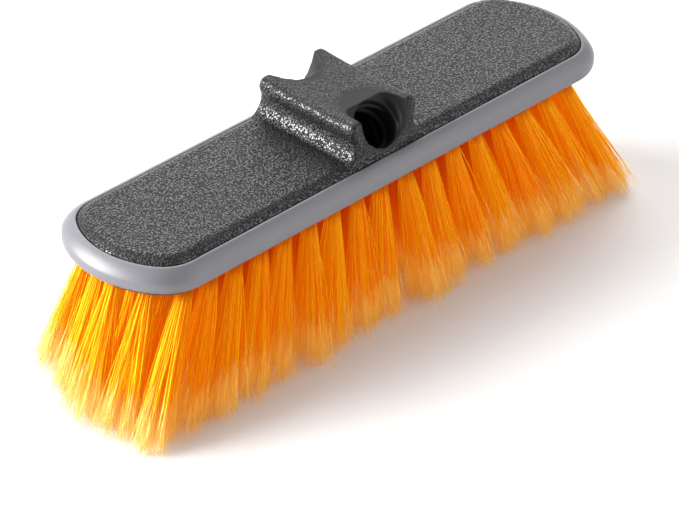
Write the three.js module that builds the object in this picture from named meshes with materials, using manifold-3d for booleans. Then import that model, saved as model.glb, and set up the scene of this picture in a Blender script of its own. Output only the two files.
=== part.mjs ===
// Deck brush head: a black moulded block with two slanted handle sockets, a soft grey bumper rim
// and five staggered rows of orange tufts. Millimetres, +Z up, +X along the block.
// The origin is on the floor, under the middle of the block, with the brush standing on its tufts.
import * as THREE from 'three';
import * as BufferGeometryUtils from 'three/addons/utils/BufferGeometryUtils.js';
import Module from 'manifold-3d';

const wasm = await Module();
wasm.setup();

// Driving sizes of the whole head
const headLength = 254;
const headWidth = 64;
const trimHeight = 55;
const fitGap = 0.3;
const cutOverrun = 2;

// Bumper rim, measured across its section: a narrow lip beside the block, then a face that slopes
// outwards and down to its widest place
const bumperWidth = 5.7;
const bumperHeight = 9.4;
const bumperLip = 1;
const bumperLipArm = 1.2;
const bumperLipFall = 0.3;
const bumperWidestDrop = 5;
const bumperSideArm = 2.1;
const bumperSideSlant = 0.5;
const bumperBottomRound = 2.2;

// Block seen from above, along the line where it meets the bumper
const endRadius = 34.5;
const cornerRadius = 15.3;

// Edge of the raised plateau: it slopes up towards plateauTurn and bends over to plateauEdge
const plateauRise = 2.6;
const plateauTurn = 2.7;
const plateauEdge = 4.5;

// Tongue on the block's side that the bumper grips
const tongueReach = 2.4;
const tongueHeight = 2.8;
const tongueDrop = 3.4;

// Tufting face under the block
const faceThickness = 1.6;
const faceLip = 2.5;

// Socket hub, in heights above the line where the block meets the bumper
const hubHeight = 18.2;
const hubRidge = 17.4;
const hubRidgeHeight = 15;
const hubCrest = 14.3;
const hubNeck = 15.8;
const hubNeckHeight = 8.8;
const hubFoot = 24.5;
const hubFlareTurn = 2.6;
const hubSag = 1;
const hubDish = 0.3;
const hubLean = 3.9;
const hubFaceInset = 0.2;
const hubEdgeRound = 1.8;
const hubRoot = 5;

// Handle sockets: each slopes up from the middle of the block towards one long side
const socketSlope = 45;
const shoulderReach = 21.3;
const boreRadius = 9.3;
const boreDepth = 16;
const boreDrop = 6.7;
const boreChamfer = 0.5;
const nearPocketRadius = 12.3;
const nearPocketLift = 2.8;
const farPocketRadius = 11;
const farPocketFlareShare = 0.25;

// Tufts
const centreRowTufts = 19;
const tuftRowSpacing = 11.4;
const tuftEdgeMargin = 5.8;
const tuftRootRing = 1.7;
const tuftTipRing = 4.9;
const strandRootRadius = 1.2;
const strandTipRadius = 2.2;
const strandRootDepth = 0.8;
const trimmedLength = 278;
const trimmedWidth = 78.5;
const outerRowFanShare = 0.04;

// Counts and facet steps
const strandsPerTuft = 5;
const strandSides = 3;
const tuftRows = 5;
const outlineSteps = 14;
const roundSteps = 5;
const flankSteps = 5;
const hubStations = 8;
const hubEdgeSteps = 3;
const socketSegments = 40;

// Control arms of a curve that passes for a quarter circle
const roundShare = 0.55;

// Where the tufting face is parted, in tuft pitches from the middle
const slicePitchShares = [-4.75, 0.25, 4.75];

// Heights above the floor
const faceBottom = trimHeight;
const faceTop = faceBottom + faceThickness;
const blockBottom = faceTop + fitGap;
const rimLevel = blockBottom + bumperHeight;

// Plan of the block: two end arcs, four corner fillets and two straight sides
const halfLength = headLength / 2 - bumperWidth;
const halfWidth = headWidth / 2 - bumperWidth;
const endCentre = halfLength - endRadius;
const filletY = halfWidth - cornerRadius;
const filletX = endCentre + Math.sqrt((endRadius - cornerRadius) ** 2 - filletY ** 2);
const filletAngle = Math.atan2(filletY, filletX - endCentre);

const black = new THREE.MeshStandardMaterial({ color: 0x26262a, roughness: 0.55, metalness: 0 });
const grey = new THREE.MeshStandardMaterial({ color: 0x85858d, roughness: 0.45, metalness: 0 });
const orange = new THREE.MeshStandardMaterial({ color: 0xff9400, roughness: 0.4, metalness: 0 });

// Points of an arc, without its last one, which the next arc starts with
function arcPoints(x, y, radius, from, to) {
    const arc = new THREE.EllipseCurve(x, y, radius, radius, from, to);
    return arc.getPoints(outlineSteps).slice(0, -1);
}

function outline(offset) {
    const corner = cornerRadius + offset;
    const quarter = Math.PI / 2;
    const half = [
        ...arcPoints(filletX, -filletY, corner, -quarter, -filletAngle),
        ...arcPoints(endCentre, 0, endRadius + offset, -filletAngle, filletAngle),
        ...arcPoints(filletX, filletY, corner, filletAngle, quarter),
        new THREE.Vector2(filletX, filletY + corner),
    ];
    return [...half, ...half.map((point) => point.clone().negate())];
}

// Half the length of the outline at a distance y from the middle line
function outlineReach(y, offset) {
    const corner = cornerRadius + offset;
    const end = endRadius + offset;
    const side = Math.abs(y);
    if (side < end * Math.sin(filletAngle)) return endCentre + Math.sqrt(end ** 2 - side ** 2);
    return filletX + Math.sqrt(corner ** 2 - Math.min(side - filletY, corner) ** 2);
}

// Skin through rings of equal count, capped at both ends or joined back on its first ring
function loft(rings, looped, capPlane) {
    const count = rings[0].length;
    const position = rings.flat().flatMap((point) => [point.x, point.y, point.z]);
    const index = [];
    const joins = looped ? rings.length : rings.length - 1;
    for (let i = 0; i < joins; i++) {
        const low = i * count;
        const high = ((i + 1) % rings.length) * count;
        for (let j = 0; j < count; j++) {
            const k = (j + 1) % count;
            index.push(low + j, low + k, high + k, low + j, high + k, high + j);
        }
    }
    if (!looped) {
        const last = (rings.length - 1) * count;
        for (const [a, b, c] of THREE.ShapeUtils.triangulateShape(rings[0].map(capPlane), [])) {
            index.push(a, c, b);
        }
        for (const [a, b, c] of THREE.ShapeUtils.triangulateShape(rings.at(-1).map(capPlane), [])) {
            index.push(last + a, last + b, last + c);
        }
    }
    const geometry = new THREE.BufferGeometry();
    geometry.setAttribute('position', new THREE.Float32BufferAttribute(position, 3));
    geometry.setIndex(index);
    return geometry;
}

const seenFromAbove = (point) => new THREE.Vector2(point.x, point.y);
const seenFromNear = (point) => new THREE.Vector2(point.x, point.z);

// A section of (offset, height) points carried round the block's outline
function carryRound(section, looped) {
    const rings = section.map((at) => outline(at.x).map((p) => new THREE.Vector3(p.x, p.y, at.y)));
    return loft(rings, looped, seenFromAbove);
}

function solid(geometry) {
    const bare = geometry.clone();
    bare.deleteAttribute('normal');
    bare.deleteAttribute('uv');
    const merged = BufferGeometryUtils.mergeVertices(bare);
    const vertProperties = new Float32Array(merged.attributes.position.array);
    const triVerts = new Uint32Array(merged.index.array);
    return new wasm.Manifold(new wasm.Mesh({ numProp: 3, vertProperties, triVerts }));
}

function named(name, body, material) {
    const { vertProperties, triVerts } = body.getMesh();
    const geometry = new THREE.BufferGeometry();
    geometry.setAttribute('position', new THREE.BufferAttribute(vertProperties, 3));
    geometry.setIndex(new THREE.BufferAttribute(triVerts, 1));
    geometry.computeVertexNormals();
    const mesh = new THREE.Mesh(geometry, material);
    mesh.name = name;
    return mesh;
}

// Block body: straight sides with the tongue, then the sloped edge of the plateau
function blockBody() {
    const tongueTop = rimLevel - tongueDrop;
    const plateauFlank = new THREE.QuadraticBezierCurve(
        new THREE.Vector2(0, rimLevel),
        new THREE.Vector2(-plateauTurn, rimLevel + plateauRise),
        new THREE.Vector2(-plateauEdge, rimLevel + plateauRise),
    );
    const section = [
        new THREE.Vector2(0, blockBottom),
        new THREE.Vector2(0, tongueTop - tongueHeight),
        new THREE.Vector2(tongueReach, tongueTop - tongueHeight),
        new THREE.Vector2(tongueReach, tongueTop),
        new THREE.Vector2(0, tongueTop),
        ...plateauFlank.getPoints(roundSteps),
    ];
    return solid(carryRound(section, false));
}

// Cross-section of the hub: flared foot, drawn-in neck, rounded ridges and a lightly dished top
function hubSection() {
    const swell = (hubNeckHeight + hubRidgeHeight) / 2;
    const turnUp = hubRidgeHeight + (hubHeight - hubRidgeHeight) * roundShare;
    const turnIn = hubCrest + (hubRidge - hubCrest) * roundShare;
    const shape = new THREE.Shape();
    shape.moveTo(-hubFoot, -hubRoot);
    shape.lineTo(hubFoot, -hubRoot);
    shape.lineTo(hubFoot, 0);
    shape.quadraticCurveTo(hubNeck, hubFlareTurn, hubNeck, hubNeckHeight);
    shape.bezierCurveTo(hubNeck, swell, hubRidge, swell, hubRidge, hubRidgeHeight);
    shape.bezierCurveTo(hubRidge, turnUp, turnIn, hubHeight, hubCrest, hubHeight);
    shape.quadraticCurveTo(0, hubHeight - 2 * hubDish, -hubCrest, hubHeight);
    shape.bezierCurveTo(-turnIn, hubHeight, -hubRidge, turnUp, -hubRidge, hubRidgeHeight);
    shape.bezierCurveTo(-hubRidge, swell, -hubNeck, swell, -hubNeck, hubNeckHeight);
    shape.quadraticCurveTo(-hubNeck, hubFlareTurn, -hubFoot, 0);
    return shape.getPoints(flankSteps);
}

// The same section drawn in by an even distance
function drawnIn(points, inset) {
    return points.map((point, i) => {
        const before = points.at(i - 1);
        const after = points[(i + 1) % points.length];
        const along = after.clone().sub(before).normalize();
        return new THREE.Vector2(point.x - along.y * inset, point.y + along.x * inset);
    });
}

// One ring of the hub. The end faces lean back, and the top sags between its horns.
function hubRing(points, sideShare, setback) {
    return points.map((point) => {
        const height = Math.max(point.y, 0);
        const face = halfWidth - hubFaceInset - (hubLean * height) / hubHeight;
        const y = sideShare * (face - setback);
        const sag = hubSag * (1 - (y / face) ** 2) * (height / hubHeight) ** 2;
        return new THREE.Vector3(point.x, y, rimLevel + point.y - sag);
    });
}

function hubBody() {
    const section = hubSection();
    const rings = [];
    const edge = (side, step) => {
        const turn = ((step / hubEdgeSteps) * Math.PI) / 2;
        const points = drawnIn(section, hubEdgeRound * (1 - Math.sin(turn)));
        return hubRing(points, side, hubEdgeRound * (1 - Math.cos(turn)));
    };
    for (let i = 0; i < hubEdgeSteps; i++) rings.push(edge(1, i));
    for (let i = 0; i <= hubStations; i++) {
        rings.push(hubRing(section, 1 - (2 * i) / hubStations, hubEdgeRound));
    }
    for (let i = hubEdgeSteps - 1; i >= 0; i--) rings.push(edge(-1, i));
    return solid(loft(rings, false, seenFromNear));
}

// Turns a tool from its own frame into a socket's: its z runs up the slope to the near (-1) or far side
function alongSocket(geometry, side) {
    const lean = THREE.MathUtils.degToRad(90 - socketSlope);
    if (side > 0) geometry.rotateZ(Math.PI);
    geometry.rotateX(-side * lean);
    geometry.translate(0, 0, rimLevel);
    return solid(geometry);
}

// Bore with a small lead-in at its mouth, turned about the socket's axis
function boreTool(side) {
    const mouth = shoulderReach;
    const profile = [
        new THREE.Vector2(0, mouth - boreDepth),
        new THREE.Vector2(boreRadius, mouth - boreDepth),
        new THREE.Vector2(boreRadius, mouth - boreChamfer),
        new THREE.Vector2(boreRadius + boreChamfer, mouth),
        new THREE.Vector2(boreRadius + boreChamfer, mouth + cutOverrun),
        new THREE.Vector2(0, mouth + cutOverrun),
    ];
    const geometry = new THREE.LatheGeometry(profile, socketSegments);
    geometry.rotateX(Math.PI / 2);
    geometry.translate(0, -boreDrop, 0);
    return alongSocket(geometry, side);
}

// Round pocket in front of the bore, which comes out through the top of the hub and its end face.
// The near one is straight and set higher than the bore, and the far one opens outwards.
function pocketTool(side) {
    const depth = halfWidth + hubHeight;
    const isNear = side < 0;
    const inner = isNear ? nearPocketRadius : farPocketRadius;
    const outer = isNear ? nearPocketRadius : farPocketRadius + farPocketFlareShare * depth;
    const lift = isNear ? nearPocketLift : 0;
    const geometry = new THREE.CylinderGeometry(outer, inner, depth, socketSegments);
    geometry.rotateX(Math.PI / 2);
    geometry.translate(0, lift - boreDrop, shoulderReach + depth / 2);
    return alongSocket(geometry, side);
}

function brushBlock() {
    let body = blockBody().add(hubBody());
    for (const side of [-1, 1]) {
        body = body.subtract(pocketTool(side)).subtract(boreTool(side));
    }
    return named('brush_block', body, black);
}

// Bumper section: rounded and sloped outside, a groove for the tongue inside
function bumperRim() {
    const grooveTop = rimLevel - tongueDrop + fitGap;
    const grooveBottom = grooveTop - tongueHeight - 2 * fitGap;
    const widest = rimLevel - bumperWidestDrop;
    const bottomRound = new THREE.EllipseCurve(
        bumperWidth - bumperBottomRound,
        blockBottom + bumperBottomRound,
        bumperBottomRound,
        bumperBottomRound,
        -Math.PI / 2,
        0,
    );
    const face = new THREE.CubicBezierCurve(
        new THREE.Vector2(bumperWidth, widest),
        new THREE.Vector2(bumperWidth - bumperSideSlant, widest + bumperSideArm),
        new THREE.Vector2(bumperLip + bumperLipArm, rimLevel - bumperLipFall),
        new THREE.Vector2(bumperLip, rimLevel),
    );
    const section = [
        ...bottomRound.getPoints(roundSteps),
        ...face.getPoints(roundSteps),
        new THREE.Vector2(fitGap, rimLevel),
        new THREE.Vector2(fitGap, grooveTop),
        new THREE.Vector2(tongueReach + fitGap, grooveTop),
        new THREE.Vector2(tongueReach + fitGap, grooveBottom),
        new THREE.Vector2(fitGap, grooveBottom),
        new THREE.Vector2(fitGap, blockBottom),
    ];
    return named('bumper_rim', solid(carryRound(section, true)), grey);
}

// Tuft places: rows are staggered by half a pitch and end where the rounded outline does
const tuftPitch = (2 * outlineReach(0, faceLip - tuftEdgeMargin)) / (centreRowTufts - 1);

function tuftPlaces() {
    const places = [];
    const middleRow = (tuftRows - 1) / 2;
    const most = Math.ceil(centreRowTufts / 2);
    for (let row = -middleRow; row <= middleRow; row++) {
        const y = row * tuftRowSpacing;
        const shift = Math.abs(row % 2) * (tuftPitch / 2);
        const reach = outlineReach(y, faceLip - tuftEdgeMargin) + fitGap;
        for (let i = -most; i <= most; i++) {
            const x = i * tuftPitch + shift;
            if (Math.abs(x) <= reach) places.push(new THREE.Vector2(x, y));
        }
    }
    return places;
}

// Tuft tips fan out from their roots, most of all in the outer rows, so that the trimmed end is longer
// and wider than the block
const outerRow = ((tuftRows - 1) / 2) * tuftRowSpacing;
const tipReach = tuftTipRing + strandTipRadius * Math.cos(Math.PI / strandSides);
const fanLong = (trimmedLength / 2 - tipReach) / outlineReach(0, faceLip - tuftEdgeMargin);
const fanWide = (trimmedWidth / 2 - tipReach) / outerRow;

// Corners of a strand, with one of its flat sides facing out from the middle of its tuft
function strandRing(centre, radius, turn, z) {
    const ring = [];
    for (let i = 0; i < strandSides; i++) {
        const angle = turn + (Math.PI * (2 * i + 1)) / strandSides;
        const x = centre.x + radius * Math.cos(angle);
        const y = centre.y + radius * Math.sin(angle);
        ring.push(new THREE.Vector3(x, y, z));
    }
    return ring;
}

// One strand from the floor up to the tufting face, and strandRootDepth on into it
function strand(root, turn) {
    const spread = new THREE.Vector2(Math.cos(turn), Math.sin(turn));
    const outward = (root.y / outerRow) ** 2;
    const tip = new THREE.Vector2(root.x * fanLong * (1 + outerRowFanShare * outward), root.y * fanWide);
    const low = tip.clone().addScaledVector(spread, tuftTipRing);
    const high = root.clone().addScaledVector(spread, tuftRootRing);
    const rings = [
        strandRing(low, strandTipRadius, turn, 0),
        strandRing(high, strandRootRadius, turn, faceBottom),
        strandRing(high, strandRootRadius, turn, faceBottom + strandRootDepth),
    ];
    return loft(rings, false, seenFromAbove);
}

function tuft(root) {
    const outward = Math.atan2(root.y, root.x);
    const strands = [];
    for (let i = 0; i < strandsPerTuft; i++) {
        strands.push(strand(root, outward + (2 * Math.PI * i) / strandsPerTuft));
    }
    return strands;
}

// The part of the tufting face between two cuts across the block
function faceSlice(from, to) {
    const section = [new THREE.Vector2(faceLip, faceBottom), new THREE.Vector2(faceLip, faceTop)];
    const whole = solid(carryRound(section, false));
    const keep = new THREE.BoxGeometry(to - from, headWidth, 2 * faceTop);
    keep.translate((from + to) / 2, 0, faceTop);
    return whole.intersect(solid(keep));
}

function bristleSection(name, from, to, places) {
    const face = faceSlice(from + fitGap / 2, to - fitGap / 2);
    const strands = places.filter((place) => place.x > from && place.x < to).flatMap(tuft);
    const body = face.add(solid(BufferGeometryUtils.mergeGeometries(strands)));
    return named(name, body, orange);
}

const head = new THREE.Group();
head.add(brushBlock(), bumperRim());

const places = tuftPlaces();
const cuts = [-headLength, ...slicePitchShares.map((share) => share * tuftPitch), headLength];
for (let i = 1; i < cuts.length; i++) {
    head.add(bristleSection(`bristle_section_${i}`, cuts[i - 1], cuts[i], places));
}

export default head;
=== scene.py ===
"""Looks of the deck brush head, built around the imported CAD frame.

The block is one grained black moulding with a saddle-shaped hub and two slanted threaded sockets.
A smooth grey bumper runs round it, and 89 tufts of fine orange filament stand in its drilled face.
"""
import math

import bmesh
import bpy
import numpy as np
from bpy.props import FloatProperty, FloatVectorProperty, IntProperty, PointerProperty
from bpy.types import Operator, Panel, PropertyGroup
from mathutils import Matrix, Vector


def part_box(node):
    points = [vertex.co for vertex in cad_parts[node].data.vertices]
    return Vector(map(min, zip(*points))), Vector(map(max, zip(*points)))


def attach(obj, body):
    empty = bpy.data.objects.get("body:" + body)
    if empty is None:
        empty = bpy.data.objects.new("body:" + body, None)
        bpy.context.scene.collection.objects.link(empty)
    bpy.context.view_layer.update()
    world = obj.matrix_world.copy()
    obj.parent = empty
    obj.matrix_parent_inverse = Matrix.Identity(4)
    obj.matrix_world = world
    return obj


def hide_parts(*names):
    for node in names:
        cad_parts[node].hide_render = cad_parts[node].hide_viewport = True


bl_info = {
    "name": "Deck brush head",
    "version": (1, 0, 0),
    "blender": (4, 5, 0),
    "location": "3D View > Sidebar > Brush head",
    "description": "Builds a deck brush head with a grained block, a bumper rim and fine tufts",
    "category": "Add Mesh",
}

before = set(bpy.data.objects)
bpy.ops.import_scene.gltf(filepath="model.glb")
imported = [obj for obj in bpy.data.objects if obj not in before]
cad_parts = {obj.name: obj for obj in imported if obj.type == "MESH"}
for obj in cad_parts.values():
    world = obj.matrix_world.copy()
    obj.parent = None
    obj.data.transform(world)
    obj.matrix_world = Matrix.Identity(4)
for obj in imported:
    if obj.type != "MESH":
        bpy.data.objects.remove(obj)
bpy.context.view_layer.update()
bumper_low, bumper_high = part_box("bumper_rim")
_, face_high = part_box("bristle_section_1")

RIM_LEVEL = bumper_high.z
BLOCK_BOTTOM = bumper_low.z
FACE_TOP = face_high.z
FACE_BOTTOM = 0.055
HALF_TURN = math.pi
QUARTER_TURN = math.pi / 2
FULL_TURN = 2 * math.pi
HALF = 0.5
POCKET_DEPTH = 0.03
PHOTO_WIDTH = 679
SENSOR_WIDTH = 36.0
NEAREST, FARTHEST = 0.05, 100
NEAR, FAR = -1, 1
BRISTLE_NODES = [f"bristle_section_{i}" for i in range(1, 5)]

# Where the tufts are parted into sections, in tuft pitches from the middle
MIDDLE_CUT = 0.25
OUTER_CUT = 4.75

# Tones of tufts and filaments, and the last place where a filament splits
MEAN_TONE = 0.6
TUFT_TONE_STRAY = 0.08
TONE_STRAY = 0.28
LAST_SPLIT = 0.95

# Light from everywhere, then each patch: its aim, cosines at its edge and core, and strength
ROOM_LIGHT = 0.17
STUDIO_PATCHES = {
    "key": ((0.25, 0.5, 0.82), 0.88, 0.985, 2.6),
    "spark": ((-0.7, 0.58, 0.32), 0.9, 0.97, 14.0),
    "back": ((0.6, 0.6, 0.52), 0.65, 0.97, 1.4),
    "dark": ((0.62, -0.62, 0.42), 0.3, 0.9, -0.18),
    "fill": ((-0.88, 0.42, 0.2), 0.72, 0.98, 3.2),
    "side": ((0.62, -0.77, 0.15), 0.6, 0.95, 1.9),
}


def length(name, about, default):
    """A size in metres that a user can change."""
    return FloatProperty(
        name=name, description=about, default=default, unit="LENGTH", precision=5, min=0
    )


def angle(name, about, degrees):
    """An angle, given in degrees and kept in radians."""
    return FloatProperty(
        name=name, description=about, default=math.radians(degrees), subtype="ANGLE"
    )


def count(name, about, default):
    """How many of something there are."""
    return IntProperty(name=name, description=about, default=default, min=1)


def share(name, about, default):
    """A plain number, mostly a share of one."""
    return FloatProperty(name=name, description=about, default=default, precision=4)


def colour(name, about, default):
    """A linear colour."""
    return FloatVectorProperty(
        name=name, description=about, default=default, subtype="COLOR", size=3, min=0, max=1
    )


class BlockSizes(PropertyGroup):
    """Plan and edges of the black block."""

    end_radius: length("End radius", "Radius of the block's two round ends", 0.0345)
    corner_radius: length("Corner radius", "Fillet between an end and a side", 0.0153)
    plateau_rise: length("Plateau rise", "Height of the plateau over the bumper", 0.0026)
    plateau_turn: length("Plateau turn", "Where the plateau's slope begins to level out", 0.0027)
    plateau_edge: length("Plateau edge", "Where the plateau's slope is level", 0.0045)
    skirt: length("Skirt", "How far the block reaches down inside the bumper", 0.0088)
    voxel: length("Voxel", "Grid on which the moulding is blended", 0.0003)
    soften_rounds: count("Softening rounds", "Passes that round the moulding's edges", 3)
    soften: share("Softening", "How much each pass rounds", 0.5)
    keep: share("Kept faces", "Share of the blended faces that is kept", 0.2)
    arc_steps: count("Arc steps", "Points along each arc of the plan", 40)


class HubSizes(PropertyGroup):
    """The saddle-shaped hub, in heights above the bumper's top."""

    height: length("Height", "Height of the horns", 0.0182)
    ridge: length("Ridge", "Half the width at the rounded ridges", 0.0174)
    ridge_height: length("Ridge height", "Where the ridges are widest", 0.015)
    crest: length("Crest", "Half the width of the dished top", 0.0143)
    neck: length("Neck", "Half the width at the drawn-in neck", 0.0158)
    neck_height: length("Neck height", "Where the neck is narrowest", 0.0088)
    foot: length("Foot", "Half the width where the flared foot meets the plateau", 0.0245)
    flare_turn: length("Flare turn", "Height at which the foot turns up", 0.0026)
    sag: length("Sag", "How far the top sags between the horns", 0.001)
    dish: length("Dish", "How far the top dips between its ridges", 0.0003)
    near_lean: length("Near lean", "How far the near end face leans back", 0.0022)
    far_lean: length("Far lean", "How far the far end face leans back", 0.0014)
    face_inset: length("Face inset", "End face set back from the block's side", 0.0002)
    edge_round: length("Edge round", "Rounding of the end faces' edges", 0.0018)
    root: length("Root", "Depth of the hub inside the block", 0.005)
    stations: count("Stations", "Sections along the hub", 60)
    edge_steps: count("Edge steps", "Sections in each rounded edge", 8)
    curve_steps: count("Curve steps", "Points along each curve of the section", 24)


class SocketSizes(PropertyGroup):
    """The two slanted handle sockets."""

    slope: angle("Slope", "Angle of the sockets above the floor", 45)
    shoulder_reach: length("Shoulder reach", "From the middle up the slope", 0.0213)
    bore_radius: length("Bore radius", "Outside radius of the thread", 0.0093)
    bore_depth: length("Bore depth", "Depth of the bore under its shoulder", 0.016)
    bore_drop: length("Bore drop", "How far the axis passes under the middle", 0.0067)
    bore_lead: length("Lead-in", "Small cone at the mouth of the bore", 0.0005)
    near_pocket: length("Near pocket radius", "Pocket on the near side", 0.0123)
    near_lift: length("Near pocket lift", "How far it sits over the bore's axis", 0.0028)
    far_pocket: length("Far pocket radius", "Pocket on the far side", 0.011)
    far_flare: share("Far pocket flare", "How fast the far pocket opens", 0.25)
    pocket_fillet: length("Pocket fillet", "Rounding where a pocket meets its shoulder", 0.0022)
    overrun: length("Overrun", "How far a cutter reaches past a face", 0.002)
    thread_pitch: length("Thread pitch", "Rise of the thread in one turn", 0.00508)
    thread_height: length("Thread height", "How far the thread stands off the bore", 0.0014)
    thread_width: length("Thread width", "Half the width of the thread's root", 0.0012)
    thread_start: length("Thread start", "Depth of the first thread", 0.0036)
    thread_end: length("Thread end", "Gap between the last thread and the bottom", 0.0014)
    segments: count("Segments", "Steps around each socket", 96)


class BumperSizes(PropertyGroup):
    """The soft bumper, measured across its section."""

    width: length("Width", "How far it stands out from the block", 0.0057)
    lip: length("Lip", "Width of the level lip beside the block", 0.001)
    lip_arm: length("Lip arm", "Pull of the lip on the curve of the face", 0.0012)
    lip_fall: length("Lip fall", "How far that pull points down", 0.0003)
    widest_drop: length("Widest drop", "Depth of the widest place under the lip", 0.005)
    side_arm: length("Side arm", "Pull of the side on the curve of the face", 0.0021)
    side_slant: length("Side slant", "How far that pull points inwards", 0.0005)
    bottom_round: length("Bottom round", "Radius at the bottom outside", 0.0022)
    lip_round: length("Lip round", "Radius of the edge beside the block", 0.0004)
    gap: length("Gap", "Fine gap beside the block", 0.0003)
    depth: length("Depth", "How deep the inner wall is modelled", 0.004)
    round_steps: count("Round steps", "Points in each round of the section", 14)


class TuftSizes(PropertyGroup):
    """Rows of tufts and their filaments."""

    middle_count: count("Tufts in the middle row", "Number along the centre line", 19)
    rows: count("Rows", "Number of staggered rows", 5)
    row_spacing: length("Row spacing", "Distance between rows", 0.0114)
    edge_margin: length("Edge margin", "Last tuft to the edge of the tufting face", 0.0058)
    face_lip: length("Face lip", "How far the tufting face stands past the block", 0.0025)
    hole_radius: length("Hole radius", "Radius of each drilled hole", 0.0027)
    hole_depth: length("Hole depth", "Depth of each hole's mouth", 0.0012)
    root_radius: length("Root radius", "Radius of a tuft where it leaves its hole", 0.0022)
    tip_radius: length("Tip radius", "Radius of a tuft at its tips", 0.0082)
    trim_length: length("Trimmed length", "Length of the brush at its tips", 0.279)
    trim_width: length("Trimmed width", "Width of the brush at its tips", 0.0785)
    fan_skew: share("Fan skew", "How much more the near rows fan out lengthwise", 0.095)
    lay: length("Lay", "How far all the tips lean to the near side", 0.0015)
    drawn_in: share("Drawn in", "How far the roots stand drawn in along the head", 0.035)
    shade_share: share("Shade", "Share of an inner filament that the others shade", 0.75)
    lit_share: share("Lit", "The same share of a filament of the outermost tufts", 0.12)
    lean_stray: length("Lean stray", "How far a whole tuft strays at its tips", 0.0012)
    filaments: count("Filaments", "Filaments in each tuft", 150)
    filament_steps: count("Filament steps", "Parts along each filament", 7)
    clumps: count("Clumps", "Groups that a tuft's filaments gather in", 9)
    clump_pull: share("Clump pull", "How much a filament leans to its group", 0.3)
    tip_stray: share("Tip stray", "How far filaments stray from their place in the tuft", 0.12)
    loose: share("Loose filaments", "Share of the filaments that lean out of the tuft", 0.03)
    loose_reach: length("Loose reach", "How far those lean out", 0.0055)
    thickness: length("Thickness", "Radius of a filament at its root", 0.0002)
    end_thickness: length("End thickness", "Radius of a filament at its end", 0.00009)
    split_share: share("Split share", "Share of a filament's length that is split and pale", 0.28)
    split_stray: share("Split stray", "How uneven the start of that part is", 0.05)
    split_spread: length("Split spread", "How far split ends part", 0.0016)
    split_steps: count("Split steps", "Parts along each split fibre", 4)
    splits: count("Splits", "Fibres that each end splits into", 2)
    waver: length("Waver", "How far a filament strays along its way", 0.0005)
    trim_stray: length("Trim stray", "How uneven the trimmed ends are", 0.0022)
    seed: count("Seed", "Start of the random draws", 7)


class Finishes(PropertyGroup):
    """Colours of the three materials and the stage."""

    block: colour("Block", "Black moulded plastic", (0.016, 0.0158, 0.0156))
    # Darker black: painted shade in the block's grain pits and sockets, and the darker tone of the
    # face's random patches
    dark_black_and_pit_shade: colour("Block grain", "Bottom of the grain", (0.008, 0.008, 0.008))
    bumper: colour("Bumper", "Grey soft rubber", (0.178, 0.175, 0.194))
    filament: colour("Filament", "Orange filament", (1.0, 0.76, 0.004))
    filament_deep: colour("Deep filament", "The darker filaments", (1.0, 0.44, 0.002))
    filament_tip: colour("Filament tips", "Split pale tips", (1.0, 0.77, 0.24))
    # Painted shade: colour of filaments where the others in the brush would shade them
    filament_painted_shade: colour("Filament root", "Filament in the shade of the others", (0.75, 0.12, 0.0))
    # Painted light: emitted colours that stand in for light scattered inside the tufts, between the
    # roots and in the pale tips
    painted_glow: colour("Glow", "Light that spreads inside the tufts", (0.19, 0.052, 0.0))
    painted_root_glow: colour("Root glow", "Light that spreads between the roots", (0.16, 0.004, 0.0))
    painted_tip_glow: colour("Tip glow", "Light that spreads in the pale tips", (0.2, 0.094, 0.012))
    floor: colour("Floor", "Pale floor", (0.86, 0.86, 0.86))


class StageSettings(PropertyGroup):
    """Camera and floor."""

    azimuth: angle("Azimuth", "Turn of the view from +Y towards +X", 47.437)
    elevation: angle("Elevation", "Height of the camera above the horizon", 33.416)
    roll: angle("Roll", "Tilt of the camera about its view", 2.087)
    distance: length("Distance", "From the rim's middle to the camera", 1.79389)
    aside: length("Aside", "View centre to the right", 0.00106)
    below: length("Below", "View centre under the rim", 0.05006)
    focal_pixels: share("Focal length", "Focal length in pixels of the photograph", 4792.24)
    floor_size: length("Floor size", "Width of the floor", 30.0)


class Wire:
    """One socket of a node. Python's operators join it to others through Math nodes."""

    def __init__(self, finish, socket):
        self.finish = finish
        self.socket = socket

    def maths(self, kind, *values):
        return self.finish.node("Math", {"operation": kind}, dict(enumerate(values)))

    def __add__(self, other):
        return self.maths("ADD", self, other)

    def __radd__(self, other):
        return self.maths("ADD", other, self)

    def __sub__(self, other):
        return self.maths("SUBTRACT", self, other)

    def __rsub__(self, other):
        return self.maths("SUBTRACT", other, self)

    def __mul__(self, other):
        return self.maths("MULTIPLY", self, other)


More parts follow.
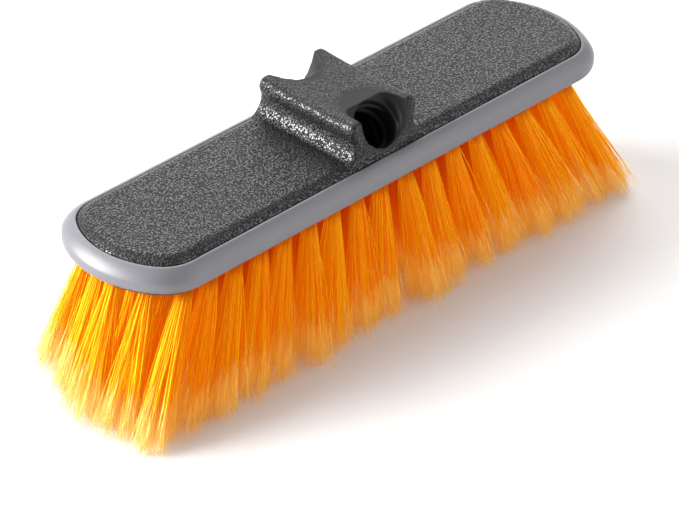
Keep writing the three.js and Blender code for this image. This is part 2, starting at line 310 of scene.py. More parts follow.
class Finish:
    """A node tree being built, and the one way in which its nodes are made."""

    def __init__(self, owner):
        owner.use_nodes = True
        self.tree = owner.node_tree
        self.tree.nodes.clear()

    def node(self, kind, settings, values, output=0):
        made = self.tree.nodes.new("ShaderNode" + kind)
        for name, value in settings.items():
            setattr(made, name, value)
        for name, value in values.items():
            self.fill(made.inputs[name], value)
        return Wire(self, made.outputs[output]) if made.outputs else None

    def fill(self, socket, value):
        if isinstance(value, Wire):
            self.tree.links.new(value.socket, socket)
        elif hasattr(value, "__len__") and socket.type == "RGBA":
            socket.default_value = (*value, 1)
        else:
            socket.default_value = value

    def mix(self, factor, first, second):
        values = {"Factor": factor, "A": first, "B": second}
        made = self.tree.nodes.new("ShaderNodeMix")
        made.data_type = "RGBA"
        for socket in made.inputs:
            if socket.enabled and socket.name in values:
                self.fill(socket, values[socket.name])
        return Wire(self, next(s for s in made.outputs if s.enabled))

    def place(self):
        return self.node("TexCoord", {}, {}, "Object")

    def attribute(self, name):
        return self.node("Attribute", {"attribute_name": name}, {}, "Fac")

    def ease(self, value, start, full, kind="SMOOTHSTEP"):
        values = {"Value": value, "From Min": start, "From Max": full}
        return self.node("MapRange", {"interpolation_type": kind}, values)

    def noise(self, place, scale, detail, roughness=HALF, output="Fac"):
        values = {"Vector": place, "Scale": scale, "Detail": detail, "Roughness": roughness}
        return self.node("TexNoise", {}, values, output)

    def bump(self, height, strength, distance):
        values = {"Height": height, "Strength": strength, "Distance": distance}
        return self.node("Bump", {}, values, "Normal")

    def surface(self, shader, kind="Material"):
        self.node("Output" + kind, {}, {"Surface": shader})

    def plastic(self, values):
        return self.node("BsdfPrincipled", {}, values)


def new_finish(name):
    material = bpy.data.materials.new(name)
    return material, Finish(material)


def block_plastic(colours):
    """Black moulded plastic with a pebbled leather grain that fades out inside the sockets, with
    painted shade in the grain's pits and inside the sockets.
    """
    material, finish = new_finish("block_plastic")
    place = finish.place()
    pebbles_per_metre = 1200
    fine_per_metre = 3200
    patches_per_metre = 22
    grain_depth = 0.0006
    swell_share = 0.8
    fine_share = 0.3
    valley = 0.5
    top = 0.2
    roughness = 0.34
    uneven = 0.1
    rougher_inside = 0.15
    deep = finish.attribute("grain")
    pebbles = finish.node(
        "TexVoronoi",
        {"feature": "SMOOTH_F1"},
        {"Vector": place, "Scale": pebbles_per_metre, "Smoothness": 0.6, "Randomness": 1.0},
        "Distance",
    )
    swell = finish.noise(place, pebbles_per_metre, 2)
    fine = finish.noise(place, fine_per_metre, 2)
    patches = finish.noise(place, patches_per_metre, 3)
    height = (1 - pebbles) + swell * swell_share + fine * fine_share
    tops = finish.ease(pebbles, valley, top)
    shader = finish.plastic({
        # Painted shade: the base colour is darker in the grain's pits and wherever the grain fades,
        # as inside the sockets
        "Base Color": finish.mix(tops * deep, colours.dark_black_and_pit_shade, colours.block),
        "Roughness": roughness + patches * uneven + (1 - deep) * rougher_inside,
        "Specular IOR Level": 0.3,
        "Coat Weight": tops * deep,
        "Coat Roughness": 0.3,
        "Coat IOR": 1.85,
        "Normal": finish.bump(height * deep, 1.0, grain_depth),
    })
    finish.surface(shader)
    return material


def bumper_rubber(colours):
    """Smooth satin rubber with a faint unevenness."""
    material, finish = new_finish("bumper_rubber")
    place = finish.place()
    patches_per_metre = 30
    skin_per_metre = 2600
    skin_depth = 0.00005
    darker_share = 0.93
    roughness = 0.36
    uneven = 0.08
    patches = finish.noise(place, patches_per_metre, 3)
    skin = finish.noise(place, skin_per_metre, 2)
    darker = tuple(c * darker_share for c in colours.bumper)
    tint = finish.mix(patches, darker, colours.bumper)
    shader = finish.plastic({
        "Base Color": tint,
        "Roughness": roughness + patches * uneven,
        "Specular IOR Level": 0.8,
        "Normal": finish.bump(skin, 0.1, skin_depth),
    })
    finish.surface(shader)
    return material


def filament_plastic(colours):
    """Orange filament that lets light through, paler along its split ends, with painted shade on
    inner filaments and near the roots, and a painted glow.
    """
    material, finish = new_finish("bristle_filament")
    tone = finish.attribute("tone")
    pale = finish.attribute("pale")
    fade_share = 0.1
    through_share = 0.35
    pale = finish.ease(pale, 0, fade_share)
    shade = finish.attribute("shade")
    body = finish.mix(tone, colours.filament_deep, colours.filament)
    # Painted shade: inner filaments and roots take the darker red through the shade attribute
    body = finish.mix(shade, body, colours.filament_painted_shade)
    # Painted glow: the filament emits light of its own, deep red where it is shaded and paler in
    # its tips
    painted_glow = finish.mix(shade, colours.painted_glow, colours.painted_root_glow)
    base = finish.mix(pale, body, colours.filament_tip)
    solid = finish.plastic({
        "Base Color": base,
        "Roughness": 0.45,
        "Specular IOR Level": 0.2,
        "Emission Color": finish.mix(pale, painted_glow, colours.painted_tip_glow),
        "Emission Strength": 1.0,
    })
    through = finish.node("BsdfTranslucent", {}, {"Color": base})
    shader = finish.node("MixShader", {}, {0: through_share, 1: solid, 2: through})
    finish.surface(shader)
    return material


def face_plastic(colours):
    """Plain satin black of the drilled face."""
    material, finish = new_finish("tufting_face_plastic")
    place = finish.place()
    patches_per_metre = 60
    marks_per_metre = 1400
    mark_depth = 0.0001
    roughness = 0.45
    uneven = 0.2
    patch_colour = (0.05, 0.05, 0.05)
    patches = finish.noise(place, patches_per_metre, 4)
    marks = finish.noise(place, marks_per_metre, 3)
    shader = finish.plastic({
        "Base Color": finish.mix(patches, colours.dark_black_and_pit_shade, patch_colour),
        "Roughness": roughness + marks * uneven,
        "Normal": finish.bump(marks, 0.3, mark_depth),
    })
    finish.surface(shader)
    return material


def in_scene(name, data):
    """A new object in the scene."""
    made = bpy.data.objects.new(name, data)
    bpy.context.scene.collection.objects.link(made)
    return made


def new_piece(name, points, faces, material=None):
    """A mesh object from arrays of points and of equal-sided faces."""
    points = np.asarray(points, np.float32)
    faces = np.asarray(faces, np.int32)
    sides = faces.shape[1]
    mesh = bpy.data.meshes.new(name)
    mesh.vertices.add(len(points))
    mesh.vertices.foreach_set("co", points.ravel())
    mesh.loops.add(faces.size)
    mesh.loops.foreach_set("vertex_index", faces.ravel())
    mesh.polygons.add(len(faces))
    mesh.polygons.foreach_set("loop_start", np.arange(0, faces.size, sides, dtype=np.int32))
    mesh.polygons.foreach_set("use_smooth", np.ones(len(faces), bool))
    mesh.update(calc_edges=True)
    if material:
        mesh.materials.append(material)
    return in_scene(name, mesh)


def ring_faces(rings, around, looped):
    """Four-sided faces between rings that each hold the same number of points."""
    low = np.arange(rings if looped else rings - 1)[:, None] * around
    high = (low + around) % (rings * around)
    step = np.arange(around)
    following = (step + 1) % around
    faces = np.stack([low + step, low + following, high + following, high + step], -1)
    return faces.reshape(-1, 4)


def capped(name, rings):
    """A closed skin through rings of points, with its two ends filled."""
    rings = np.asarray(rings)
    made = new_piece(name, rings.reshape(-1, 3), ring_faces(*rings.shape[:2], False))
    work = bmesh.new()
    work.from_mesh(made.data)
    bmesh.ops.holes_fill(work, edges=[e for e in work.edges if e.is_boundary], sides=0)
    bmesh.ops.recalc_face_normals(work, faces=work.faces)
    work.to_mesh(made.data)
    work.free()
    return made


def modify(piece, kind, **settings):
    """Adds a modifier and applies it at once."""
    modifier = piece.modifiers.new(kind, kind)
    for name, value in settings.items():
        setattr(modifier, name, value)
    graph = bpy.context.evaluated_depsgraph_get()
    mesh = bpy.data.meshes.new_from_object(piece.evaluated_get(graph))
    piece.modifiers.clear()
    old = piece.data
    mesh.name = piece.name
    piece.data = mesh
    bpy.data.meshes.remove(old)


def joined(name, pieces):
    """One object that holds the meshes of several."""
    work = bmesh.new()
    for piece in pieces:
        work.from_mesh(piece.data)
    mesh = bpy.data.meshes.new(name)
    work.to_mesh(mesh)
    work.free()
    discard(*pieces)
    return in_scene(name, mesh)


def discard(*pieces):
    """Removes pieces that were only tools."""
    for piece in pieces:
        mesh = piece.data
        bpy.data.objects.remove(piece)
        bpy.data.meshes.remove(mesh)


def arc(x, y, across, up, start, end, steps):
    """Points of an elliptical arc, both ends included."""
    turn = np.linspace(start, end, steps + 1)
    return np.stack([x + across * np.cos(turn), y + up * np.sin(turn)], -1)


def full_turn(number):
    """Even steps round a full turn."""
    return np.linspace(0, FULL_TURN, number, endpoint=False)


def circle(x, y, radius, z, number):
    """Points of a level circle."""
    turn = full_turn(number)
    return np.stack([x + radius * np.cos(turn), y + radius * np.sin(turn), np.full(number, z)], -1)


def bend(points, steps):
    """Points of a Bezier curve after its first one."""
    t = np.linspace(0, 1, steps + 1)[1:, None]
    points = [np.array(p, float) for p in points]
    while len(points) > 1:
        points = [a + (b - a) * t for a, b in zip(points, points[1:])]
    return points[0]


class Plan:
    """The block's outline from above: two end arcs, four fillets and two straight sides."""

    def __init__(self, sizes, bumper):
        self.sizes = sizes
        self.half_length = bumper_high.x - bumper.width
        self.half_width = bumper_high.y - bumper.width
        self.end_x = self.half_length - sizes.end_radius
        self.fillet_y = self.half_width - sizes.corner_radius
        between = sizes.end_radius - sizes.corner_radius
        self.fillet_x = self.end_x + math.sqrt(between**2 - self.fillet_y**2)
        self.turn = math.atan2(self.fillet_y, self.fillet_x - self.end_x)

    def outline(self, offset, side_steps=40):
        """Points round the plan, moved outwards by an offset."""
        steps = self.sizes.arc_steps
        corner = self.sizes.corner_radius + offset
        end = self.sizes.end_radius + offset
        x, y = self.fillet_x, self.fillet_y
        side = np.linspace(x, -x, side_steps + 2)[1:]
        half = np.concatenate(
            [
                arc(x, -y, corner, corner, -QUARTER_TURN, -self.turn, steps),
                arc(self.end_x, 0, end, end, -self.turn, self.turn, steps)[1:],
                arc(x, y, corner, corner, self.turn, QUARTER_TURN, steps)[1:],
                np.stack([side, np.full(len(side), y + corner)], -1)[:-1],
            ]
        )
        return np.concatenate([half, -half])

    def ring(self, offset, height):
        flat = self.outline(offset)
        return np.column_stack([flat, np.full(len(flat), height)])

    def reach(self, y, offset):
        """Half the length of the outline at a distance y from the middle line."""
        corner = self.sizes.corner_radius + offset
        end = self.sizes.end_radius + offset
        if abs(y) < end * math.sin(self.turn):
            return self.end_x + math.sqrt(end**2 - y**2)
        return self.fillet_x + math.sqrt(corner**2 - min(abs(y) - self.fillet_y, corner) ** 2)


def plateau_body(sizes, plan):
    """The block without its hub: upright sides and a plateau with a rounded edge."""
    round_steps = 12
    top = RIM_LEVEL + sizes.plateau_rise
    flank = [(0, RIM_LEVEL), (-sizes.plateau_turn, top), (-sizes.plateau_edge, top)]
    section = [(0, RIM_LEVEL - sizes.skirt), flank[0], *bend(flank, round_steps)]
    return capped("plateau", [plan.ring(offset, height) for offset, height in section])


def hub_section(hub):
    """Half of the hub's section is drawn and mirrored: foot, neck, ridge and dished top."""
    steps = hub.curve_steps
    swell = (hub.neck_height + hub.ridge_height) * HALF
    round_share = 0.55
    turn_up = hub.ridge_height + (hub.height - hub.ridge_height) * round_share
    turn_in = hub.crest + (hub.ridge - hub.crest) * round_share
    neck = (hub.neck, hub.neck_height)
    ridge = (hub.ridge, hub.ridge_height)
    crest = (hub.crest, hub.height)
    side = np.concatenate(
        [
            [(hub.foot, -hub.root), (hub.foot, 0)],
            bend([(hub.foot, 0), (hub.neck, hub.flare_turn), neck], steps),
            bend([neck, (hub.neck, swell), (hub.ridge, swell), ridge], steps),
            bend([ridge, (hub.ridge, turn_up), (turn_in, hub.height), crest], steps),
        ]
    )
    middle = bend([crest, (0, hub.height - 2 * hub.dish), (-hub.crest, hub.height)], steps)
    return np.concatenate([side, middle[:-1], side[::-1] * (-1, 1)])


def drawn_in(points, inset):
    """A section moved inwards by an even distance."""
    along = np.roll(points, -1, 0) - np.roll(points, 1, 0)
    along /= np.linalg.norm(along, axis=1)[:, None]
    return points + inset * np.stack([-along[:, 1], along[:, 0]], -1)


def hub_body(hub, plan):
    """The hub as a skin through sections from its far end face to its near one."""
    section = hub_section(hub)
    face_y = plan.half_width - hub.face_inset

    def ring(points, side, setback):
        height = np.maximum(points[:, 1], 0)
        lean = hub.near_lean if side < 0 else hub.far_lean
        face = face_y - lean * height / hub.height
        y = side * (face - setback)
        sag = hub.sag * (1 - (y / face) ** 2) * (height / hub.height) ** 2
        return np.stack([points[:, 0], y, RIM_LEVEL + points[:, 1] - sag], -1)

    def edge(side, step):
        turn = QUARTER_TURN * step / hub.edge_steps
        points = drawn_in(section, hub.edge_round * (1 - math.sin(turn)))
        return ring(points, side, hub.edge_round * (1 - math.cos(turn)))

    rings = [edge(FAR, i) for i in range(hub.edge_steps)]
    for side in np.linspace(FAR, NEAR, hub.stations + 1):
        rings.append(ring(section, side, hub.edge_round))
    rings += [edge(NEAR, i) for i in reversed(range(hub.edge_steps))]
    return capped("hub", rings)


def socket_frame(sizes, side):
    """Turns a cutter whose z runs up the slope into the socket on the near or far side."""
    lean = side * (sizes.slope - QUARTER_TURN)
    turn = Matrix.Rotation(lean, 4, "X")
    if side == FAR:
        turn = turn @ Matrix.Rotation(HALF_TURN, 4, "Z")
    return Matrix.Translation((0, 0, RIM_LEVEL)) @ turn


def turned(name, profile, y, sizes, side):
    """A cutter turned from (radius, height) points about a socket's axis, moved by y."""
    made = capped(name, [circle(0, y, r, z, sizes.segments) for r, z in profile])
    made.data.transform(socket_frame(sizes, side))
    return made


def bore_cutter(sizes, side):
    """A handle's bore with a small cone at its mouth."""
    mouth = sizes.shoulder_reach
    wide = sizes.bore_radius + sizes.bore_lead
    profile = [
        (sizes.bore_radius, mouth - sizes.bore_depth),
        (sizes.bore_radius, mouth - sizes.bore_lead),
        (wide, mouth),
        (wide, mouth + sizes.overrun),
    ]
    return turned("bore_cutter", profile, -sizes.bore_drop, sizes, side)


def pocket_sizes(sizes, side):
    """A pocket's radius, how fast it opens and how far it sits over the bore."""
    if side == NEAR:
        return sizes.near_pocket, 0, sizes.near_lift
    return sizes.far_pocket, sizes.far_flare, 0


def pocket_cutter(sizes, side):
    """The open pocket over a shoulder, with a fillet round its bottom."""
    inner, flare, lift = pocket_sizes(sizes, side)
    outer = inner + POCKET_DEPTH * flare
    low = sizes.shoulder_reach
    fillet = sizes.pocket_fillet
    fillet_points = 9
    profile = [
        (inner - fillet * (1 - np.sin(turn)), low + fillet * (1 - np.cos(turn)))
        for turn in np.linspace(0, QUARTER_TURN, fillet_points)
    ]
    profile.append((outer, low + POCKET_DEPTH))
    return turned("pocket_cutter", profile, lift - sizes.bore_drop, sizes, side)


def thread_ridge(sizes, side):
    """A rounded ridge wound down the inside of a bore, tapered out at both ends."""
    top = sizes.shoulder_reach - sizes.thread_start
    bottom = sizes.shoulder_reach - sizes.bore_depth + sizes.thread_end
    turns = (top - bottom) / sizes.thread_pitch
    steps = int(turns * sizes.segments)
    around = 14
    taper = 0.2
    way = np.linspace(0, turns, steps)
    fade = np.clip(np.minimum(way, turns - way) / taper, 0, 1)
    fade = fade * fade * (3 - 2 * fade)
    tall = sizes.thread_height * fade
    turn = full_turn(around)
    radius = sizes.bore_radius - tall[:, None] * np.cos(turn)
    radius = np.where(np.cos(turn) < 0, sizes.bore_radius + sizes.overrun * HALF, radius)
    height = (top - way * sizes.thread_pitch)[:, None] + sizes.thread_width * np.sin(turn)
    spin = (FULL_TURN * way)[:, None]
    x = radius * np.cos(spin)
    y = radius * np.sin(spin) - sizes.bore_drop
    made = capped("thread", np.stack([x, y, height], -1))
    made.data.transform(socket_frame(sizes, side))
    return made


def cut(body, tools):
    """Takes tools away from a body."""
    for tool in tools:
        modify(body, "BOOLEAN", operation="DIFFERENCE", object=tool, solver="EXACT")


def made_block(scene):
    """The whole moulding: plateau and hub, cut by the sockets, blended and softened."""
    sizes, sockets = scene.brush_block, scene.brush_sockets
    plan = Plan(sizes, scene.brush_bumper)
    body = plateau_body(sizes, plan)
    hub = hub_body(scene.brush_hub, plan)
    tools = [bore_cutter(sockets, side) for side in (NEAR, FAR)]
    tools += [pocket_cutter(sockets, side) for side in (NEAR, FAR)]
    cut(body, tools)
    cut(hub, tools)
    discard(*tools)
    threads = [thread_ridge(sockets, side) for side in (NEAR, FAR)]
    block = joined("block", [body, hub, *threads])
    modify(block, "REMESH", mode="VOXEL", voxel_size=sizes.voxel, use_smooth_shade=True)
    modify(block, "SMOOTH", factor=sizes.soften, iterations=sizes.soften_rounds)
    modify(block, "DECIMATE", ratio=sizes.keep)
    smooth(block)
    set_grain(scene, block)
    return block


def set_grain(scene, block):
    """Depth of the grain: full on the plateau, less on the hub's top and ends, none in sockets."""
    hub, sockets = scene.brush_hub, scene.brush_sockets
    points = np.empty(len(block.data.vertices) * 3, np.float32)
    block.data.vertices.foreach_get("co", points)
    x, y, z = (points.reshape(-1, 3) - (0, 0, RIM_LEVEL)).T
    fine_share = 0.55
    on_top = np.clip((z - hub.ridge_height) / (hub.height - hub.ridge_height) / HALF, 0, 1)
    on_top = on_top * (np.abs(x) < hub.ridge)
    end_start = bumper_high.y - scene.brush_bumper.width - hub.near_lean - hub.edge_round
    on_end = np.clip((np.abs(y) - end_start) / hub.edge_round, 0, 1)
    on_end = on_end * (z > scene.brush_block.plateau_rise)
    grain = 1 - (1 - fine_share) * np.maximum(on_top, on_end)
    for side in (NEAR, FAR):
        turn = np.array(socket_frame(sockets, side).inverted())
        world = np.column_stack([x, y, z + RIM_LEVEL, np.ones(len(x))])
        across, up, along, _ = (world @ turn.T).T
        radius, flare, lift = pocket_sizes(sockets, side)
        wide = radius + flare * np.maximum(along - sockets.shoulder_reach, 0)
        away = np.hypot(across, up + sockets.bore_drop - lift) - wide
        bottom = sockets.shoulder_reach - sockets.bore_depth - sockets.overrun
        inside = np.where(along > bottom, np.clip(1 - away / sockets.overrun, 0, 1), 0)
        grain = grain * (1 - inside)
    layer = block.data.attributes.new("grain", "FLOAT", "POINT")
    layer.data.foreach_set("value", grain.astype(np.float32))


def smooth(piece):
    """Shades a piece smoothly."""
    mesh = piece.data
    mesh.polygons.foreach_set("use_smooth", np.ones(len(mesh.polygons), bool))
    mesh.update()


def bumper_section(sizes):
    """Section of the bumper in (offset, height), from its bottom inside round to its lip."""
    steps = sizes.round_steps
    corner = sizes.bottom_round
    widest = RIM_LEVEL - sizes.widest_drop
    lip = sizes.lip_round
    inside = sizes.gap
    face = [
        (sizes.width, widest),
        (sizes.width - sizes.side_slant, widest + sizes.side_arm),
        (sizes.lip + sizes.lip_arm, RIM_LEVEL - sizes.lip_fall),
        (sizes.lip, RIM_LEVEL),
    ]
    bottom = arc(
        sizes.width - corner, BLOCK_BOTTOM + corner, corner, corner, -QUARTER_TURN, 0, steps
    )
    edge = arc(inside + lip, RIM_LEVEL - lip, lip, lip, QUARTER_TURN, HALF_TURN, steps)
    start = [(inside, BLOCK_BOTTOM)]
    end = [(inside, RIM_LEVEL - sizes.depth)]
    return np.concatenate([start, bottom, face[:1], bend(face, steps), edge, end])


def made_bumper(scene, material):
    """The rim, its section carried round the block."""
    plan = Plan(scene.brush_block, scene.brush_bumper)
    section = bumper_section(scene.brush_bumper)
    rings = np.array([plan.ring(offset, height) for offset, height in section])
    faces = ring_faces(*rings.shape[:2], True)
    return new_piece("bumper", rings.reshape(-1, 3), faces, material)


def tuft_places(scene):
    """Roots of the tufts: rows staggered by half a pitch, each ending where the outline does."""
    tufts = scene.brush_tufts
    plan = Plan(scene.brush_block, scene.brush_bumper)
    margin = tufts.face_lip - tufts.edge_margin
    pitch = 2 * plan.reach(0, margin) / (tufts.middle_count - 1)
    middle_row = (tufts.rows - 1) // 2
    most = tufts.middle_count
    slack = scene.brush_bumper.gap
    places = []
    for row in range(-middle_row, middle_row + 1):
        y = row * tufts.row_spacing
        reach = plan.reach(y, margin) + slack
        for i in range(-most, most + 1):
            x = i * pitch + (row % 2) * pitch * HALF
            if abs(x) <= reach:
                places.append((x * (1 - tufts.drawn_in), y))
    return plan, pitch * (1 - tufts.drawn_in), places


def made_face(scene, material):
    """The drilled face: a thin plate with a countersunk hole for each tuft."""
    tufts = scene.brush_tufts
    plan, pitch, places = tuft_places(scene)
    bottom = FACE_BOTTOM
    edge = 0.0004
    lip = tufts.face_lip
    section = [
        (lip - edge, bottom),
        (lip, bottom + edge),
        (lip, FACE_TOP - edge),
        (lip - edge, FACE_TOP),
    ]
    plate = capped("tufting_face", [plan.ring(offset, height) for offset, height in section])
    sides = 20
    profile = [
        (tufts.hole_radius + edge * 2, bottom - edge * 2),
        (tufts.hole_radius, bottom + edge),
        (tufts.hole_radius, bottom + tufts.hole_depth),
    ]
    drills = [
        capped("drill", [circle(x, y, r, z, sides) for r, z in profile]) for x, y in places
    ]
    drill = joined("drills", drills)
    cut(plate, [drill])
    discard(drill)
    plate.data.materials.append(material)
    return plate


def disc(chance, number):
    """Spots spread evenly over a disc of radius one."""
    reach = np.sqrt(chance.uniform(0, 1, number))
    turn = chance.uniform(0, FULL_TURN, number)
    return reach[:, None] * np.stack([np.cos(turn), np.sin(turn)], -1)


def gathered(tufts, spots, chance):
    """The spots, drawn towards the middles of a few clumps and strayed a little."""
    middles = disc(chance, tufts.clumps)
    nearest = np.argmin(((spots[:, None] - middles) ** 2).sum(-1), 1)
    drawn = spots + (middles[nearest] - spots) * tufts.clump_pull
    return drawn + chance.normal(0, tufts.tip_stray, drawn.shape)


def filament_lines(tufts, root, tip, chance):
    """Centre lines of one tuft's filaments, from inside its hole to the floor."""
    number = tufts.filaments
    t = np.linspace(0, 1, tufts.filament_steps + 1)[:, None]
    spots = disc(chance, number)
    starts = np.array(root) + spots * tufts.root_radius
    ends = np.array(tip) + gathered(tufts, spots, chance) * tufts.tip_radius
    loose = chance.uniform(0, 1, number) < tufts.loose
    ends[loose] += chance.uniform(-tufts.loose_reach, tufts.loose_reach, (loose.sum(), 2))
    bow = chance.normal(0, tufts.waver, (number, 1, 2)) * np.sin(HALF_TURN * t)
    wave = chance.normal(0, tufts.waver * HALF, (number, 1, 2)) * np.sin(FULL_TURN * t)
    flat = starts[:, None] * (1 - t) + ends[:, None] * t + bow + wave
    top = FACE_BOTTOM + tufts.hole_depth * HALF
    bottom = chance.exponential(tufts.trim_stray, (number, 1))
    return np.dstack([flat, top + (bottom - top) * t[:, 0]])


def split_lines(tufts, lines, starts, chance):
    """Fibres that leave each filament where it splits and curl apart."""
    t = np.linspace(0, 1, tufts.split_steps + 1)[:, None]
    place = starts * (lines.shape[1] - 1)
    low = place.astype(int)
    rows = np.arange(len(lines))
    begin = lines[rows, low] + (lines[rows, low + 1] - lines[rows, low]) * (place - low)[:, None]
    way = begin[:, None] * (1 - t) + lines[:, -1:] * t
    flatter = (1, 1, 0.25)
    stray = chance.normal(0, tufts.split_spread, (len(lines), 1, 3)) * flatter
    curl = chance.normal(0, tufts.split_spread * HALF, (len(lines), 1, 3)) * flatter
    way = way + stray * t**2 + curl * np.sin(HALF_TURN * t) * t
    way[:, :, 2] = np.maximum(way[:, :, 2], tufts.end_thickness)
    return way


def tubes(lines, radius, sides=3):
    """Thin tubes along many centre lines of equal length: points, faces and their strand."""
    number, steps = lines.shape[:2]
    along = np.gradient(lines, axis=1)
    along /= np.linalg.norm(along, axis=2)[..., None]
    across = np.cross(along, (0.0, 1.0, 0.0))
    across /= np.linalg.norm(across, axis=2)[..., None]
    up = np.cross(across, along)
    turn = full_turn(sides)
    ring = across[:, :, None] * np.cos(turn)[:, None] + up[:, :, None] * np.sin(turn)[:, None]
    points = lines[:, :, None] + ring * radius[:, :, None, None]
    one = ring_faces(steps, sides, False)
    first = (np.arange(number) * steps * sides)[:, None, None]
    faces = (one[None] + first).reshape(-1, 4)
    triangles = np.concatenate([faces[:, [0, 1, 2]], faces[:, [0, 2, 3]]])
    ends = first[:, :, 0] + np.array([[2, 1, 0]])
    tips = first[:, :, 0] + (steps - 1) * sides + np.array([[0, 1, 2]])
    return points.reshape(-1, 3), np.concatenate([triangles, ends, tips])


class Strands:
    """Tubes gathered for one piece, with the tone, paleness and shade of each point."""

    def __init__(self):
        self.parts = []
        self.first = 0

    def add(self, lines, radius, tone, pale, shade):
        points, faces = tubes(lines, radius)
        sides = len(points) // pale.size
        tones = np.broadcast_to(tone, pale.shape)
        looks = [np.repeat(look.ravel(), sides) for look in (tones, pale, shade)]
        self.parts.append((points, faces + self.first, *looks))
        self.first += len(points)

    def piece(self, name, material):
        points, faces, *looks = (np.concatenate(part) for part in zip(*self.parts))
        made = new_piece(name, points, faces, material)
        for attribute, values in zip(("tone", "pale", "shade"), looks):
            layer = made.data.attributes.new(attribute, "FLOAT", "POINT")
            layer.data.foreach_set("value", values.astype(np.float32))
        return made


def add_tuft(strands, tufts, root, tip, inner, chance):
    """One tuft: its filaments and the fibres that they split into."""
    lines = filament_lines(tufts, root, tip, chance)
    number, points = lines.shape[:2]
    mean_tone = chance.normal(MEAN_TONE, TUFT_TONE_STRAY)
    tone = np.clip(chance.normal(mean_tone, TONE_STRAY, (number, 1)), 0, 1)
    split = 1 - tufts.split_share + chance.normal(0, tufts.split_stray * HALF)
    starts = np.clip(chance.normal(split, tufts.split_stray, number), HALF, LAST_SPLIT)
    t = np.linspace(0, 1, points)
    thin = np.clip((t - starts[:, None]) / (1 - starts[:, None]), 0, 1)
    radius = tufts.thickness + (tufts.end_thickness - tufts.thickness) * thin
    shaded = tufts.lit_share + (tufts.shade_share - tufts.lit_share) * inner
    shade = np.ones((number, 1)) * np.clip(1 - t / shaded, 0, 1)
    strands.add(lines, radius, tone, t - starts[:, None], shade)
    t = np.linspace(0, 1, tufts.split_steps + 1)
    fine = np.ones((number, 1)) * (tufts.end_thickness * (1 - HALF * t))
    pale = t * (1 - starts[:, None])
    lit = np.zeros(pale.shape)
    for _ in range(tufts.splits):
        strands.add(split_lines(tufts, lines, starts, chance), fine, tone, pale, lit)


def made_bristles(scene, material):
    """The tufts of fine filament, in two pieces for each bristle section."""
    tufts = scene.brush_tufts
    plan, pitch, places = tuft_places(scene)
    chance = np.random.default_rng(tufts.seed)
    outer_row = (tufts.rows - 1) * HALF * tufts.row_spacing
    reach = plan.reach(0, tufts.face_lip - tufts.edge_margin) * (1 - tufts.drawn_in)
    fan_long = (tufts.trim_length * HALF - tufts.tip_radius) / reach
    fan_wide = (tufts.trim_width * HALF - tufts.tip_radius) / outer_row
    quarter = OUTER_CUT * pitch
    shift = MIDDLE_CUT * pitch
    cuts = [-bumper_high.x, -quarter, shift, quarter, bumper_high.x]
    made = []
    for node, low, high in zip(BRISTLE_NODES, cuts, cuts[1:]):
        held = sorted(place for place in places if low < place[0] < high)
        middle = len(held) // 2
        for end, part in (("left", held[:middle]), ("right", held[middle:])):
            strands = Strands()
            for x, y in part:
                fan = fan_long * (1 + tufts.fan_skew * max(-y / outer_row, 0))
                stray = chance.normal(0, tufts.lean_stray, 2)
                tip = (x * fan + stray[0], y * fan_wide - tufts.lay + stray[1])
                outer = max(abs(y) / outer_row, abs(x) / reach)
                inner = min((1 - outer) / HALF, 1)
                add_tuft(strands, tufts, (x, y), tip, inner, chance)
            made.append((strands.piece(f"{node}_{end}_filaments", material), node))
    return made


def made_camera(settings):
    """The camera at the photograph's place, found from the outline of the block."""
    az, el = settings.azimuth, settings.elevation
    forward = Vector(
        (math.sin(az) * math.cos(el), math.cos(az) * math.cos(el), -math.sin(el))
    )
    right = Vector((math.cos(az), -math.sin(az), 0))
    up = right.cross(forward)
    cos_roll, sin_roll = math.cos(settings.roll), math.sin(settings.roll)
    side = cos_roll * right + sin_roll * up
    top = cos_roll * up - sin_roll * right
    data = bpy.data.cameras.new("camera")
    data.sensor_width = SENSOR_WIDTH
    data.lens = settings.focal_pixels / PHOTO_WIDTH * SENSOR_WIDTH
    data.clip_start, data.clip_end = NEAREST, FARTHEST
    place = settings.aside * side - settings.below * top - settings.distance * forward
    place.z += RIM_LEVEL
    turn = Matrix((side, top, -forward)).transposed().to_4x4()
    made = in_scene("camera", data)
    made.matrix_world = Matrix.Translation(place) @ turn
    bpy.context.scene.camera = made


def made_floor(settings, colours):
    """The pale floor, lifted a little where the camera sees it."""
    half = settings.floor_size * HALF
    corners = [(-half, -half, 0), (half, -half, 0), (half, half, 0), (-half, half, 0)]
    floor = new_piece("floor", corners, [(0, 1, 2, 3)])
    material, finish = new_finish("floor")
    seen = finish.node("LightPath", {}, {}, "Is Camera Ray")
    plain = finish.node("BsdfDiffuse", {}, {"Color": colours.floor})
    lift_strength = 0.05
    lift = finish.node("Emission", {}, {"Color": (1, 1, 1), "Strength": seen * lift_strength})
    finish.surface(finish.node("AddShader", {}, {0: plain, 1: lift}))
    floor.data.materials.append(material)


def lobe(finish, way, aim, start, full):
    """Smooth patch about one direction of the studio."""
    aim = Vector(aim).normalized()
    near = finish.node("VectorMath", {"operation": "DOT_PRODUCT"}, {0: way, 1: tuple(aim)}, "Value")
    return finish.ease(near, start, full, "SMOOTHERSTEP")


def made_world():
    """The studio: plain white behind the object, and soft patches that light it."""
    world = bpy.data.worlds.new("studio")
    bpy.context.scene.world = world
    finish = Finish(world)
    way = finish.node("TexCoord", {}, {}, "Generated")
    seen = finish.node("LightPath", {}, {}, "Is Camera Ray")
    room = ROOM_LIGHT
    for aim, start, full, strength in STUDIO_PATCHES.values():
        room = room + lobe(finish, way, aim, start, full) * strength
    white = finish.node("Background", {}, {"Color": (1, 1, 1), "Strength": 1})
    studio = finish.node("Background", {}, {"Color": (1, 1, 1), "Strength": room})
    finish.surface(finish.node("MixShader", {}, {0: seen, 1: studio, 2: white}), "World")


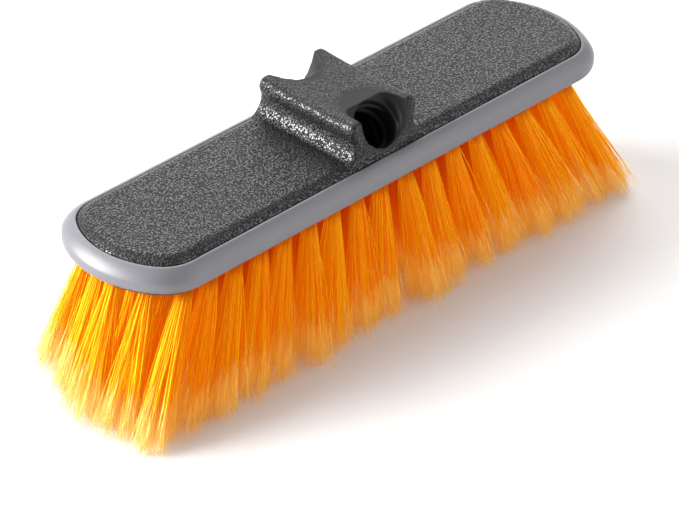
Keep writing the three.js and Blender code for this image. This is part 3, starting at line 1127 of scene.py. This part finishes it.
class BRUSH_OT_stage(Operator):
    """Makes the camera, the pale floor and the soft studio light"""

    bl_idname = "brush.stage"
    bl_label = "Stage"

    def execute(self, context):
        scene = context.scene
        scene.view_settings.view_transform = "Standard"
        made_camera(scene.brush_stage)
        made_floor(scene.brush_stage, scene.brush_finishes)
        made_world()
        return {"FINISHED"}


class BRUSH_OT_block(Operator):
    """Makes the grained block with its hub and sockets"""

    bl_idname = "brush.block"
    bl_label = "Block"

    def execute(self, context):
        scene = context.scene
        block = made_block(scene)
        block.data.materials.append(block_plastic(scene.brush_finishes))
        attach(block, "root")
        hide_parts("brush_block")
        return {"FINISHED"}


class BRUSH_OT_bumper(Operator):
    """Makes the soft bumper rim"""

    bl_idname = "brush.bumper"
    bl_label = "Bumper"

    def execute(self, context):
        scene = context.scene
        bumper = made_bumper(scene, bumper_rubber(scene.brush_finishes))
        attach(bumper, "root")
        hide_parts("bumper_rim")
        return {"FINISHED"}


class BRUSH_OT_face(Operator):
    """Makes the drilled tufting face"""

    bl_idname = "brush.face"
    bl_label = "Tufting face"

    def execute(self, context):
        scene = context.scene
        face = made_face(scene, face_plastic(scene.brush_finishes))
        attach(face, "root")
        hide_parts(*BRISTLE_NODES)
        return {"FINISHED"}


class BRUSH_OT_bristles(Operator):
    """Makes the tufts of fine filament"""

    bl_idname = "brush.bristles"
    bl_label = "Bristles"

    def execute(self, context):
        scene = context.scene
        material = filament_plastic(scene.brush_finishes)
        for piece, node in made_bristles(scene, material):
            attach(piece, "root")
            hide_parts(node)
        return {"FINISHED"}


class BRUSH_PT_sidebar(Panel):
    """Lists the steps that build the brush head"""

    bl_label = "Brush head"
    bl_idname = "BRUSH_PT_sidebar"
    bl_space_type = "VIEW_3D"
    bl_region_type = "UI"
    bl_category = "Brush head"

    def draw(self, context):
        for step in STEPS:
            self.layout.operator(step.bl_idname)


STEPS = (BRUSH_OT_stage, BRUSH_OT_block, BRUSH_OT_bumper, BRUSH_OT_face, BRUSH_OT_bristles)
GROUPS = {
    "brush_block": BlockSizes,
    "brush_hub": HubSizes,
    "brush_sockets": SocketSizes,
    "brush_bumper": BumperSizes,
    "brush_tufts": TuftSizes,
    "brush_finishes": Finishes,
    "brush_stage": StageSettings,
}


def register():
    for kind in (*GROUPS.values(), *STEPS, BRUSH_PT_sidebar):
        bpy.utils.register_class(kind)
    for name, group in GROUPS.items():
        setattr(bpy.types.Scene, name, PointerProperty(type=group))


def unregister():
    for name in GROUPS:
        delattr(bpy.types.Scene, name)
    for kind in (BRUSH_PT_sidebar, *reversed(STEPS), *reversed(list(GROUPS.values()))):
        bpy.utils.unregister_class(kind)


def main():
    register()
    bpy.ops.brush.stage()
    bpy.ops.brush.block()
    bpy.ops.brush.bumper()
    bpy.ops.brush.face()
    bpy.ops.brush.bristles()


if __name__ == "__main__":
    main()
